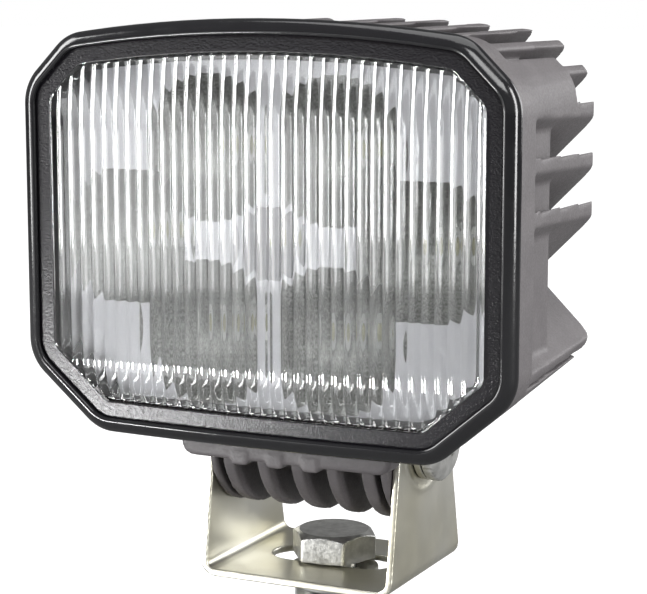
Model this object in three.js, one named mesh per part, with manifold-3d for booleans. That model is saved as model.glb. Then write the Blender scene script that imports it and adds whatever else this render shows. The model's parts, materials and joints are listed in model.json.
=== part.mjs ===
// Rectangular LED fog light on a U-shaped steel bracket.
// Millimetres, +Z up. The lamp looks along -Y, and +X is on the right of someone looking at its lens.
// The origin is where the axis of the mounting bolt meets the underside of the bracket base.
import * as THREE from "three";
import { mergeVertices } from "three/addons/utils/BufferGeometryUtils.js";
import Module from "manifold-3d";

const wasm = await Module();
wasm.setup();

// ---- driving dimensions ----
const GAP = 0.3; // clearance between neighbouring pieces
const FAR = 70; // further out than any part of the lamp

const LAMP_Z = 78; // height of the lamp's centre
const FRONT_Y = -37.3; // front of the bezel
const REAR_Y = 16.8; // rear tips of the cooling fins
const HALF_WIDTH = 56.1;
const SIDE_CORNER_Z = 29.6; // where a vertical side turns into a cut corner
const TOP_CORNER = [45.4, 40.2];
const TOP_RISE = 3.3; // how far the arched top edge rises over its ends
const BOTTOM_CORNER = [39, -44.1];
const BOTTOM_DIP = 0.4;
const CORNER_RADIUS = 10;
const FIN_LIFT = 2.2; // how far the fins rise towards the rear, over the top of the wall

const BEZEL_LIP = 3.2; // width of the bezel's face
const BEZEL_WALL = 2.3;
const BEZEL_DEPTH = 2.3;
const LENS_THICKNESS = 3;
const GASKET_WIDTH = 2.4;
const GASKET_THICKNESS = 1;
const WINDOW_INSET = 8.4; // clear window, measured in from the lamp's outline
const CAVITY_INSET = 5.6;
const CAVITY_REAR_Y = -14.2;
const WALL_REAR_Y = -25.3; // the smooth side wall ends here and the open fins begin
const BASE_INSET = 3.4;
const BASE_REAR_Y = -9;
const FIN_PITCH = 10.6; // between neighbouring fins, measured along an edge of the lamp
const FIN_THICKNESS = 2.3;
const FIN_SHIFT = 3.2; // moves the fins away from the line between their upper and lower halves
const FIN_MIRROR_Z = -11.6; // fins above run outwards and up, fins below outwards and down
const FIN_ROOT_Y = WALL_REAR_Y - 0.6; // fins and corner blocks start inside the wall
const UNDERCUT = { y: -30, z: -44.6, slope: 0.24 }; // sloping underside that clears the bracket

const CUP_RADIUS = 14.8;
const CUP_DEPTH = 12.5;
const CUP_THROAT_RADIUS = 4;
const CUPS = [[-14.4, 16.8], [14.4, 16.8], [-34, -2.3], [34, -2.3], [-14.4, -21.4], [14.4, -21.4]];
const CENTRE_CUP = [0, -2.3];
const CENTRE_CUP_RADIUS = 7.6;

const SHEET = 1.5; // bracket steel
const BRACKET_HALF_WIDTH = 23;
const PIVOT = { y: -2, z: 31.3 };
const BOSS_HALF_WIDTH = BRACKET_HALF_WIDTH - SHEET - GAP;
const BOSS_RADIUS = 17.6;
const BOSS_CORE_RADIUS = 10;
const TAP_END = 8.5; // the pivot threads stop this far from the middle
const RIB_PITCH = 8.3;
const RIB_THICKNESS = 2.8;

const BRACKET_BEND = 2; // inside radius
const BASE_FRONT_Y = -20.5;
const BASE_BACK_Y = 18.5;
const ARM_RADIUS = 13.4;
const SLOT_HALF_LENGTH = 14.7;
const SLOT_HALF_WIDTH = 5.9;
const PIVOT_HOLE_RADIUS = 4.3;

const FRONT_STRIP = { left: -22.4, right: 26.6, front: -29.2, rear: -23, low: -49, round: 3.4 };
const LUG = { halfWidth: 1.8, front: -29.4, rear: -22.5, low: -50 };

const BOLT = { across: 17, head: 6.4, shank: 5, length: 25, crown: 7.8, chamfer: 1.25 };
const HEAD_TURN = 7; // degrees that the bolt's hexagon is turned about +Z
const SEGMENTS = 24;

// ---- materials ----
const finish = (color, roughness, metalness) => new THREE.MeshStandardMaterial({ color, roughness, metalness });
const ZINC = finish(0xc9c8b4, 0.35, 0.9);
const STEEL = finish(0xb4b4b2, 0.3, 1);
const CAST = finish(0x5f5b5d, 0.6, 0.2);
const GLOSS_BLACK = finish(0x0c0c0d, 0.12, 0);
const SATIN_BLACK = finish(0x17171a, 0.45, 0);
const CLEAR = finish(0xeef4f6, 0.05, 0);
const MIRROR = finish(0xe6e6e6, 0.15, 0.9);
const RUBBER = finish(0x101010, 0.85, 0);
const BOARD = finish(0xe9e9e6, 0.5, 0);
const CIRCUIT = finish(0x1f5b3a, 0.5, 0);
const LED = finish(0xe8e06a, 0.4, 0);
const PAD = finish(0x9aa3a8, 0.9, 0);
const COPPER = finish(0xb8733a, 0.35, 1);
const TINNED = finish(0xcfcfcb, 0.3, 1);

// ---- solids and joins ----
function toSolid(geometry) {
  const bare = new THREE.BufferGeometry();
  bare.setAttribute("position", geometry.getAttribute("position"));
  if (geometry.index) bare.setIndex(geometry.index);
  const merged = mergeVertices(bare, 1e-4);
  const vertProperties = merged.attributes.position.array;
  const make = (triVerts) => new wasm.Manifold(new wasm.Mesh({ numProp: 3, vertProperties, triVerts }));
  const triangles = new Uint32Array(merged.index.array);
  const made = make(triangles);
  if (made.volume() > 0) return made;
  for (let i = 0; i < triangles.length; i += 3) triangles.subarray(i, i + 3).reverse();
  return make(triangles);
}

function toGeometry(solid) {
  const mesh = solid.getMesh();
  const geometry = new THREE.BufferGeometry();
  geometry.setAttribute("position", new THREE.BufferAttribute(new Float32Array(mesh.vertProperties), mesh.numProp));
  geometry.setIndex(new THREE.BufferAttribute(new Uint32Array(mesh.triVerts), 1));
  geometry.computeVertexNormals();
  return geometry;
}

const join = (first, ...others) => others.reduce((sum, solid) => sum.add(solid), first);
const cut = (first, ...others) => others.reduce((rest, solid) => rest.subtract(solid), first);

function box(x0, x1, y0, y1, z0, z1) {
  const geometry = new THREE.BoxGeometry(x1 - x0, y1 - y0, z1 - z0);
  geometry.translate((x0 + x1) / 2, (y0 + y1) / 2, (z0 + z1) / 2);
  return toSolid(geometry);
}

// A turned solid: profile points are [radius, distance along the axis].
function turned(profile, axis, at = [0, 0, 0], segments = SEGMENTS) {
  const points = profile.map(([radius, along]) => new THREE.Vector2(radius, along));
  const geometry = new THREE.LatheGeometry(points, segments);
  if (axis === "x") geometry.rotateZ(-Math.PI / 2);
  if (axis === "z") geometry.rotateX(Math.PI / 2);
  geometry.translate(...at);
  return toSolid(geometry);
}

const disc = (radius, from, to, axis, at, segments) =>
  turned([[0, from], [radius, from], [radius, to], [0, to]], axis, at, segments);

const ring = (inner, outer, from, to, axis, at, segments) =>
  turned([[inner, from], [outer, from], [outer, to], [inner, to], [inner, from]], axis, at, segments);

// Extrudes an outline: in XY along Z, in XZ along Y, or in YZ along X.
function plate(shape, plane, from, to, curveSegments = 8) {
  const geometry = new THREE.ExtrudeGeometry(shape, { depth: to - from, bevelEnabled: false, curveSegments });
  if (plane === "xy") geometry.translate(0, 0, from);
  if (plane === "xz") geometry.rotateX(Math.PI / 2).translate(0, to, 0);
  if (plane === "yz") {
    const turn = new THREE.Matrix4().makeBasis(
      new THREE.Vector3(0, 1, 0),
      new THREE.Vector3(0, 0, 1),
      new THREE.Vector3(1, 0, 0),
    );
    geometry.applyMatrix4(turn).translate(from, 0, 0);
  }
  return toSolid(geometry);
}

const outlineShape = (points) => new THREE.Shape(points.map(([x, y]) => new THREE.Vector2(x, y)));

function hexagon(across, turn = 0) {
  const corner = (index) => {
    const angle = ((index + 0.5) * Math.PI) / 3 + turn;
    return [(across / Math.sqrt(3)) * Math.cos(angle), (across / Math.sqrt(3)) * Math.sin(angle)];
  };
  return outlineShape([0, 1, 2, 3, 4, 5].map(corner));
}

// ---- the lamp's outline ----
// Sharp corners of the outline, anticlockwise from the lower right, before they are rounded.
function lampCorners() {
  const arch = (x) => TOP_CORNER[1] + TOP_RISE * (1 - (x / TOP_CORNER[0]) ** 2);
  const top = [1, 0.5, 0, -0.5, -1].map((part) => [part * TOP_CORNER[0], arch(part * TOP_CORNER[0])]);
  return [
    [BOTTOM_CORNER[0], BOTTOM_CORNER[1]],
    [HALF_WIDTH, -SIDE_CORNER_Z],
    [HALF_WIDTH, SIDE_CORNER_Z],
    ...top,
    [-HALF_WIDTH, SIDE_CORNER_Z],
    [-HALF_WIDTH, -SIDE_CORNER_Z],
    [-BOTTOM_CORNER[0], BOTTOM_CORNER[1]],
    [0, BOTTOM_CORNER[1] - BOTTOM_DIP],
  ];
}

// Moves every edge of an anticlockwise convex outline inwards by the same distance.
function inset(corners, distance) {
  const lines = corners.map(([x0, y0], index) => {
    const [x1, y1] = corners[(index + 1) % corners.length];
    const length = Math.hypot(x1 - x0, y1 - y0);
    const normal = [-(y1 - y0) / length, (x1 - x0) / length];
    return { normal, offset: normal[0] * x0 + normal[1] * y0 + distance };
  });
  return lines.map((after, index) => {
    const before = lines[(index + lines.length - 1) % lines.length];
    const det = before.normal[0] * after.normal[1] - before.normal[1] * after.normal[0];
    return [
      (before.offset * after.normal[1] - after.offset * before.normal[1]) / det,
      (before.normal[0] * after.offset - after.normal[0] * before.offset) / det,
    ];
  });
}

// Replaces each clear corner by an arc of a few points, and leaves nearly straight ones.
function rounded(corners, radius, steps) {
  const points = [];
  corners.forEach(([x, y], index) => {
    const [xa, ya] = corners[(index + corners.length - 1) % corners.length];
    const [xb, yb] = corners[(index + 1) % corners.length];
    const into = Math.atan2(y - ya, x - xa);
    let turn = Math.atan2(yb - y, xb - x) - into;
    while (turn < 0) turn += 2 * Math.PI;
    if (turn < 0.3) {
      points.push([x, y]);
      return;
    }
    const reach = radius * Math.tan(turn / 2);
    const start = [x - reach * Math.cos(into), y - reach * Math.sin(into)];
    const centre = [start[0] - radius * Math.sin(into), start[1] + radius * Math.cos(into)];
    for (let step = 0; step <= steps; step++) {
      const angle = into - Math.PI / 2 + (turn * step) / steps;
      points.push([centre[0] + radius * Math.cos(angle), centre[1] + radius * Math.sin(angle)]);
    }
  });
  return points;
}

const lampOutline = (distance, steps) =>
  rounded(inset(lampCorners(), distance), Math.max(CORNER_RADIUS - distance, 3), steps);

// A solid between lamp outlines: each stage is [y, inset] or [y, inset, rise].
function lampLoft(stages, steps = 3) {
  const rings = stages.map(([, distance]) => lampOutline(distance, steps));
  const count = rings[0].length;
  const place = ([y, , rise = 0], points) => points.flatMap(([x, z]) => [x, y, z + rise]);
  const positions = rings.flatMap((points, level) => place(stages[level], points));
  const faces = [];
  for (let level = 0; level + 1 < rings.length; level++) {
    for (let k = 0; k < count; k++) {
      const a = level * count + k;
      const b = level * count + ((k + 1) % count);
      faces.push(a, b, b + count, a, b + count, a + count);
    }
  }
  const cap = THREE.ShapeUtils.triangulateShape(rings[0].map(([x, z]) => new THREE.Vector2(x, z)), []);
  const last = (rings.length - 1) * count;
  for (const [a, b, c] of cap) faces.push(b, a, c, last + a, last + b, last + c);
  const geometry = new THREE.BufferGeometry();
  geometry.setAttribute("position", new THREE.Float32BufferAttribute(positions, 3));
  geometry.setIndex(faces);
  return toSolid(geometry);
}

const lampSlab = (distance, from, to, steps) => lampLoft([[from, distance], [to, distance]], steps);

// ---- bracket and its hardware, in the object's frame ----
const UNDER_BASE = -GAP;
const WASHER = { inner: 5.3, outer: 10, thickness: 2 };
const SPRING = { inner: 5.4, outer: 8.6, thickness: 2.2, split: 1.4 };
const NUT_HEIGHT = 8;

function mountingBolt() {
  const seat = SHEET + GAP;
  const reach = BOLT.across / Math.sqrt(3);
  const hex = plate(hexagon(BOLT.across, THREE.MathUtils.degToRad(HEAD_TURN)), "xy", seat, seat + BOLT.head);
  const top = seat + BOLT.head;
  const crown = turned([[0, seat], [reach, seat], [reach, top - BOLT.chamfer], [BOLT.crown, top], [0, top]], "z");
  const shank = turned(
    [[0, seat - BOLT.length], [BOLT.shank - 1, seat - BOLT.length], [BOLT.shank, seat - BOLT.length + 1],
      [BOLT.shank, seat + 1], [0, seat + 1]],
    "z",
  );
  return join(hex.intersect(crown), shank);
}

const flatWasher = () => ring(WASHER.inner, WASHER.outer, UNDER_BASE - WASHER.thickness, UNDER_BASE, "z");

function springWasher() {
  const top = UNDER_BASE - WASHER.thickness - GAP;
  const body = ring(SPRING.inner, SPRING.outer, top - SPRING.thickness, top, "z");
  const split = SPRING.split / 2;
  return cut(body, box(0, SPRING.outer + 1, -split, split, top - SPRING.thickness - 1, top + 1));
}

function hexNut() {
  const top = UNDER_BASE - WASHER.thickness - SPRING.thickness - 2 * GAP;
  const reach = BOLT.across / Math.sqrt(3);
  const hex = plate(hexagon(BOLT.across), "xy", top - NUT_HEIGHT, top);
  const low = top - NUT_HEIGHT;
  const { crown, chamfer } = BOLT;
  const barrel = turned(
    [[0, low], [crown, low], [reach, low + chamfer], [reach, top - chamfer], [crown, top], [0, top]],
    "z",
  );
  return cut(hex.intersect(barrel), disc(BOLT.shank + GAP, low - 1, top + 1, "z"));
}

// The folded U, seen along Y: outer skin first, then back along the inner one.
function bracketSection() {
  const half = BRACKET_HALF_WIDTH;
  const outer = BRACKET_BEND + SHEET;
  const top = PIVOT.z + ARM_RADIUS + 5;
  const shape = new THREE.Shape();
  shape.moveTo(-half, top);
  shape.lineTo(-half, outer);
  shape.absarc(-half + outer, outer, outer, Math.PI, 1.5 * Math.PI, false);
  shape.lineTo(half - outer, 0);
  shape.absarc(half - outer, outer, outer, 1.5 * Math.PI, 2 * Math.PI, false);
  shape.lineTo(half, top);
  shape.lineTo(half - SHEET, top);
  shape.lineTo(half - SHEET, outer);
  shape.absarc(half - outer, outer, BRACKET_BEND, 0, -0.5 * Math.PI, true);
  shape.lineTo(-half + outer, SHEET);
  shape.absarc(-half + outer, outer, BRACKET_BEND, -0.5 * Math.PI, -Math.PI, true);
  shape.lineTo(-half + SHEET, top);
  shape.closePath();
  return shape;
}

// One arm seen from the side: tapered edges that run tangent into a round top.
function armSide() {
  const tangent = (y) => {
    const dy = y - PIVOT.y;
    const dz = -PIVOT.z;
    const away = Math.hypot(dy, dz);
    return Math.atan2(dz, dy) + Math.sign(dy) * Math.acos(ARM_RADIUS / away);
  };
  const shape = new THREE.Shape();
  shape.moveTo(BASE_FRONT_Y, 0);
  shape.lineTo(BASE_BACK_Y, 0);
  shape.absarc(PIVOT.y, PIVOT.z, ARM_RADIUS, tangent(BASE_BACK_Y), tangent(BASE_FRONT_Y) + 2 * Math.PI, false);
  shape.closePath();
  return shape;
}

function slotShape() {
  const middle = SLOT_HALF_LENGTH - SLOT_HALF_WIDTH;
  const shape = new THREE.Shape();
  shape.absarc(middle, 0, SLOT_HALF_WIDTH, -Math.PI / 2, Math.PI / 2, false);
  shape.absarc(-middle, 0, SLOT_HALF_WIDTH, Math.PI / 2, 1.5 * Math.PI, false);
  shape.closePath();
  return shape;
}

function bracket() {
  const folded = plate(bracketSection(), "xz", BASE_FRONT_Y, BASE_BACK_Y, 5);
  const side = plate(armSide(), "yz", -BRACKET_HALF_WIDTH - 1, BRACKET_HALF_WIDTH + 1, 20);
  const hole = disc(PIVOT_HOLE_RADIUS, -30, 30, "x", [0, PIVOT.y, PIVOT.z]);
  const slot = plate(slotShape(), "xy", -1, SHEET + 1, 9);
  return cut(folded.intersect(side), hole, slot);
}

// ---- the lamp, whose own frame has its origin at the lamp's centre height ----
const pivotZ = PIVOT.z - LAMP_Z;
const lensFront = FRONT_Y + 1.1;
const lensBack = lensFront + LENS_THICKNESS;
const gasketFront = lensBack + GAP;
const seatFloor = gasketFront + GASKET_THICKNESS + GAP;
const bezelBack = FRONT_Y + BEZEL_DEPTH;
const trayFront = bezelBack + GAP;
const lensInset = BEZEL_WALL + GAP;
const gasketInner = BEZEL_WALL + GASKET_WIDTH;
const reflectorFront = seatFloor + 1.4;
const reflectorBack = reflectorFront + CUP_DEPTH;
const padBack = CAVITY_REAR_Y - GAP;
const PAD_THICKNESS = 0.5;
const BOARD_THICKNESS = 1.6;
const boardBack = padBack - PAD_THICKNESS - GAP;
const boardFront = boardBack - BOARD_THICKNESS;
const ledBack = boardFront - GAP;

function bezel() {
  const body = lampLoft([[FRONT_Y, 1.2], [FRONT_Y + 0.35, 0.4], [FRONT_Y + 1.1, 0], [bezelBack, 0]], 4);
  const mouth = lampSlab(BEZEL_LIP, FRONT_Y - 1, lensFront, 4);
  const seat = lampSlab(BEZEL_WALL, lensFront - GAP, bezelBack + 1, 4);
  return cut(body, mouth, seat);
}

const lens = () => lampLoft([[lensFront, lensInset + 0.4], [lensFront + 0.4, lensInset], [lensBack, lensInset]], 4);

function lensGasket() {
  const outer = lampSlab(lensInset, gasketFront, gasketFront + GASKET_THICKNESS);
  return cut(outer, lampSlab(gasketInner, gasketFront - 1, gasketFront + 2));
}

// The black frame behind the lens, with the clear window in it.
function windowFrame() {
  const outer = lampSlab(gasketInner + GAP, gasketFront, gasketFront + GASKET_THICKNESS);
  const lip = lampSlab(CAVITY_INSET + GAP, gasketFront + 0.5, reflectorFront - GAP);
  return cut(join(outer, lip), lampSlab(WINDOW_INSET, gasketFront - 1, reflectorFront + 1));
}

function cupCutter([x, z], radius) {
  const bowl = [0, 0.1, 0.35, 0.65, 1].map((part) => [
    CUP_THROAT_RADIUS + (radius - CUP_THROAT_RADIUS) * Math.sqrt(part),
    -part * CUP_DEPTH,
  ]);
  const profile = [[0, 1], [CUP_THROAT_RADIUS, 1], ...bowl, [radius, -CUP_DEPTH - 1], [0, -CUP_DEPTH - 1]];
  return turned(profile, "y", [x, reflectorBack, z]);
}

// Board screws sit in the corners that the cups leave free.
const BOARD_SCREWS = [[-37, 20.5], [37, 20.5], [-37, -25], [37, -25]];
const screwHoles = (radius, from, to) => BOARD_SCREWS.map(([x, z]) => disc(radius, from, to, "y", [x, 0, z], 16));

function reflector() {
  const block = lampSlab(CAVITY_INSET + GAP + 0.1, reflectorFront, reflectorBack);
  const bowls = CUPS.map((place) => cupCutter(place, CUP_RADIUS));
  const heads = screwHoles(3.4, reflectorBack - 3.2, reflectorBack + 1);
  return cut(block, ...bowls, cupCutter(CENTRE_CUP, CENTRE_CUP_RADIUS), ...heads);
}

const ledBoard = () =>
  cut(lampSlab(CAVITY_INSET + 2.2, boardFront, boardBack), ...screwHoles(1.8, boardFront - 1, boardBack + 1));

function thermalPad() {
  const { x0, x1, z0, z1 } = DRIVER_POCKET;
  const margin = 0.5;
  const sheet = lampSlab(CAVITY_INSET + 3, padBack - PAD_THICKNESS, padBack);
  const pocket = box(x0 - margin, x1 + margin, padBack - 2, padBack + 1, z0 - margin, z1 + margin);
  return cut(sheet, ...screwHoles(2.2, padBack - 2, padBack + 1), pocket);
}

const LED_CARRIER = { width: 4.8, thickness: 0.8 };

function led([x, z]) {
  const half = LED_CARRIER.width / 2;
  const carrier = box(x - half, x + half, ledBack - LED_CARRIER.thickness, ledBack, z - half, z + half);
  const dome = [[0, -0.4], [2, -0.4], [2, -0.9], [1.75, -1.6], [1.05, -2.2], [0, -2.5]];
  return join(carrier, turned(dome, "y", [x, ledBack, z], 16));
}

const boardScrew = ([x, z]) =>
  turned(
    [[0, -2], [1.1, -2], [2.6, -1.2], [2.6, 0], [1.4, 0], [1.4, 6.6], [0, 6.6]],
    "y", [x, boardFront - GAP, z], 16,
  );

// ---- driver, in a pocket behind the LED board ----
const DRIVER_POCKET = { x0: -9.2, x1: 9.2, z0: -35, z1: -9, rear: 4 };
const POCKET_WALL = 2.4;
const POCKET_REACH = 31;
const driverY = -5.5;
const DRIVER_THICKNESS = 1.2;
const socketZ = -21;

function driverBoard() {
  const { x0, x1, z0, z1 } = DRIVER_POCKET;
  const margin = 0.5;
  const rear = driverY + DRIVER_THICKNESS;
  const board = box(x0 + margin, x1 - margin, driverY, rear, z0 + margin, z1 - margin);
  return cut(board, ...pinBores(PIN_RADIUS + GAP, driverY - 1, rear + 1));
}

const partFront = driverY - GAP;
const driverInductor = () => ring(1.6, 4.4, partFront - 4.2, partFront, "y", [-3.6, 0, -14.6], 20);
const driverChip = () => box(2.2, 7.2, partFront - 1.5, partFront, -17.2, -12.2);
const CAN_PROFILE = [[0, -6.4], [2.6, -6.4], [3, -6], [3, -1], [2.7, -0.7], [3, -0.4], [3, 0], [0, 0]];
const driverCapacitor = (x) => turned(CAN_PROFILE, "y", [x, partFront, -30.2], 18);

// ---- the built-in socket at the rear ----
const PIN_RADIUS = 0.75;
const PIN_X = 3.2;
const SOCKET = { wide: 9.6, high: 6, wall: 1.8, length: 12.6, floor: 2.2 };
const socketFront = DRIVER_POCKET.rear + POCKET_WALL + 1.2;

function stadium(halfWide, halfHigh) {
  const middle = halfWide - halfHigh;
  const shape = new THREE.Shape();
  shape.absarc(middle, socketZ, halfHigh, -Math.PI / 2, Math.PI / 2, false);
  shape.absarc(-middle, socketZ, halfHigh, Math.PI / 2, 1.5 * Math.PI, false);
  shape.closePath();
  return shape;
}

const pinBores = (radius, from, to) =>
  [-1, 1].map((side) => disc(radius, from, to, "y", [side * PIN_X, 0, socketZ], 12));

function connectorShell() {
  const rear = socketFront + SOCKET.length;
  const flange = plate(stadium(SOCKET.wide + 2.2, SOCKET.high + 2.2), "xz", socketFront, socketFront + 1.8);
  const shell = plate(stadium(SOCKET.wide, SOCKET.high), "xz", socketFront, rear);
  const floor = socketFront + SOCKET.floor;
  const well = plate(stadium(SOCKET.wide - SOCKET.wall, SOCKET.high - SOCKET.wall), "xz", floor, rear + 1);
  const top = socketZ + SOCKET.high;
  const key = (x) => box(x - 0.8, x + 0.8, socketFront + 1.5, rear - 2, top - 0.4, top + 1);
  return cut(join(cut(join(flange, shell), well), key(-4), key(4)), ...pinBores(PIN_RADIUS + GAP, socketFront - 1, floor + 1));
}

function connectorSeal() {
  const outer = plate(stadium(SOCKET.wide + 1.4, SOCKET.high + 1.4), "xz", socketFront - 0.9, socketFront - GAP);
  return cut(outer, plate(stadium(SOCKET.wide - 1.6, SOCKET.high - 1.6), "xz", socketFront - 2, socketFront + 1));
}

function contactPin(side) {
  const front = driverY - 2;
  const tip = socketFront + 8.8;
  const profile = [[0, front], [PIN_RADIUS, front], [PIN_RADIUS, tip - 0.8], [0.3, tip], [0, tip]];
  return turned(profile, "y", [side * PIN_X, 0, socketZ], 12);
}

// ---- pressure-balance vent ----
const VENT = { x: 0, z: 24, radius: 5, seat: -4 };

const ventPlug = () =>
  turned(
    [[0, -3.2], [2.4, -3.2], [2.4, GAP], [VENT.radius, GAP], [VENT.radius, 1.4], [VENT.radius - 0.8, 2.2], [0, 2.2]],
    "y", [VENT.x, VENT.seat, VENT.z], 24,
  );

// ---- pivot hardware: each side is mirrored by its sign ----
const WASHER_X = BRACKET_HALF_WIDTH + GAP;
const PIVOT_WASHER = { inner: 4.4, outer: 8.7, thickness: 1.5 };
const HEAD_X = WASHER_X + PIVOT_WASHER.thickness + GAP;
const pivotTurned = (profile, side) =>
  turned(profile.map(([radius, along]) => [radius, side * along]), "x", [0, PIVOT.y, pivotZ], 24);

function pivotWasher(side) {
  const outside = WASHER_X + PIVOT_WASHER.thickness;
  const { inner, outer } = PIVOT_WASHER;
  return pivotTurned([[inner, WASHER_X], [outer, WASHER_X], [outer, outside], [inner, outside], [inner, WASHER_X]], side);
}

const pivotBolt = (side) =>
  pivotTurned(
    [[0, 9], [3.2, 9], [4, 9.8], [4, HEAD_X], [8.8, HEAD_X], [8.8, HEAD_X + 0.9], [7.9, HEAD_X + 2.4], [5.8, HEAD_X + 3.6],
      [3.4, HEAD_X + 4.1], [3, HEAD_X + 4.1], [3, HEAD_X + 1.4], [0, HEAD_X + 1.4]],
    side,
  );

// ---- housing ----
// Straight fins at 45 degrees that fan out towards one corner.
function finQuadrant(side, up) {
  const half = (FIN_THICKNESS / 2) * Math.SQRT2;
  const at = (x, across) => [side * x, FIN_MIRROR_Z + up * (x + across)];
  const bar = (index) => {
    const middle = index * FIN_PITCH + FIN_SHIFT;
    const corners = [at(-5, middle - half), at(FAR, middle - half), at(FAR, middle + half), at(-5, middle + half)];
    return plate(outlineShape(side * up > 0 ? corners : corners.reverse()), "xz", FIN_ROOT_Y, REAR_Y);
  };
  const indexes = up > 0 ? [-4, -3, -2, -1, 0, 1, 2, 3, 4] : [-4, -3, -2, -1, 0, 1, 2];
  const overlap = 0.3;
  const [x0, x1] = side > 0 ? [-overlap, FAR] : [-FAR, overlap];
  const [z0, z1] = up > 0 ? [FIN_MIRROR_Z - overlap, FAR] : [-FAR, FIN_MIRROR_Z + overlap];
  return join(...indexes.map(bar)).intersect(box(x0, x1, -FAR, FAR, z0, z1));
}

const fins = () => join(finQuadrant(-1, -1), finQuadrant(-1, 1), finQuadrant(1, -1), finQuadrant(1, 1));

// Solid corners between the outermost fins.
function cornerBlocks() {
  const block = (x, z, radius, rear) => disc(radius, FIN_ROOT_Y, rear, "y", [x, 0, z]);
  const upper = [-51.5, 51.5].map((x) => block(x, 29.5, 6.5, 2));
  const lower = [-50, 50].map((x) => block(x, -38, 9.5, REAR_Y - 3));
  return join(...upper, ...lower);
}

// One cheek or rib of the pivot boss, hung from the front strip.
function bossRib(x, thickness) {
  const shape = new THREE.Shape();
  shape.moveTo(PIVOT.y - BOSS_RADIUS - 4, pivotZ + 12);
  shape.lineTo(PIVOT.y - BOSS_RADIUS - 4, pivotZ + 3);
  shape.quadraticCurveTo(PIVOT.y - BOSS_RADIUS, pivotZ + 2, PIVOT.y - BOSS_RADIUS, pivotZ - 1);
  shape.absarc(PIVOT.y, pivotZ, BOSS_RADIUS, 1.02 * Math.PI, 2 * Math.PI, false);
  shape.lineTo(PIVOT.y + BOSS_RADIUS, pivotZ + 12);
  shape.closePath();
  return plate(shape, "yz", x - thickness / 2, x + thickness / 2, 10);
}

// The strip under the lamp's front edge, with its ends rounded off and a lug under three of the ribs.
function frontStrip() {
  const { left, right, front, rear, low, round } = FRONT_STRIP;
  const top = low + 8;
  const shape = new THREE.Shape();
  shape.moveTo(left, top);
  shape.lineTo(left, low + round);
  shape.quadraticCurveTo(left, low, left + round, low);
  shape.lineTo(right - round, low);
  shape.quadraticCurveTo(right, low, right, low + round);
  shape.lineTo(right, top);
  shape.closePath();
  const lug = (x) => box(x - LUG.halfWidth, x + LUG.halfWidth, LUG.front, LUG.rear, LUG.low, low + 2);
  return join(plate(shape, "xz", front, rear), ...[-1, 0, 1].map((k) => lug(k * RIB_PITCH)));
}

function pivotBoss() {
  const ribs = [-2, -1, 0, 1, 2].map((k) => bossRib(k * RIB_PITCH, RIB_THICKNESS));
  const cheeks = [-1, 1].map((side) => bossRib(side * (BOSS_HALF_WIDTH - 0.8), 1.6));
  const core = disc(BOSS_CORE_RADIUS, -BOSS_HALF_WIDTH + 0.5, BOSS_HALF_WIDTH - 0.5, "x", [0, PIVOT.y, pivotZ], 32);
  const web = box(-BOSS_HALF_WIDTH + 0.5, BOSS_HALF_WIDTH - 0.5, PIVOT.y - 5, PIVOT.y + 9, pivotZ, pivotZ + 12);
  return join(...ribs, ...cheeks, core, web, frontStrip());
}

function underCutter() {
  const low = (y) => UNDERCUT.z + UNDERCUT.slope * (y - UNDERCUT.y);
  const front = UNDERCUT.y - 2;
  const rear = REAR_Y + 2;
  return plate(outlineShape([[front, -FAR], [rear, -FAR], [rear, low(rear)], [front, low(front)]]), "yz", -FAR, FAR);
}

// Room for one bracket arm and its bolt head, from rest to the end of the backward tilt.
function armPocket(x0, x1) {
  const radius = ARM_RADIUS + 0.9;
  return join(
    disc(radius, x0, x1, "x", [0, PIVOT.y, pivotZ], 32),
    box(x0, x1, PIVOT.y - 19, REAR_Y + 2, -FAR, pivotZ + 2),
    box(x0, x1, PIVOT.y, REAR_Y + 2, -FAR, pivotZ + radius),
  );
}

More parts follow.
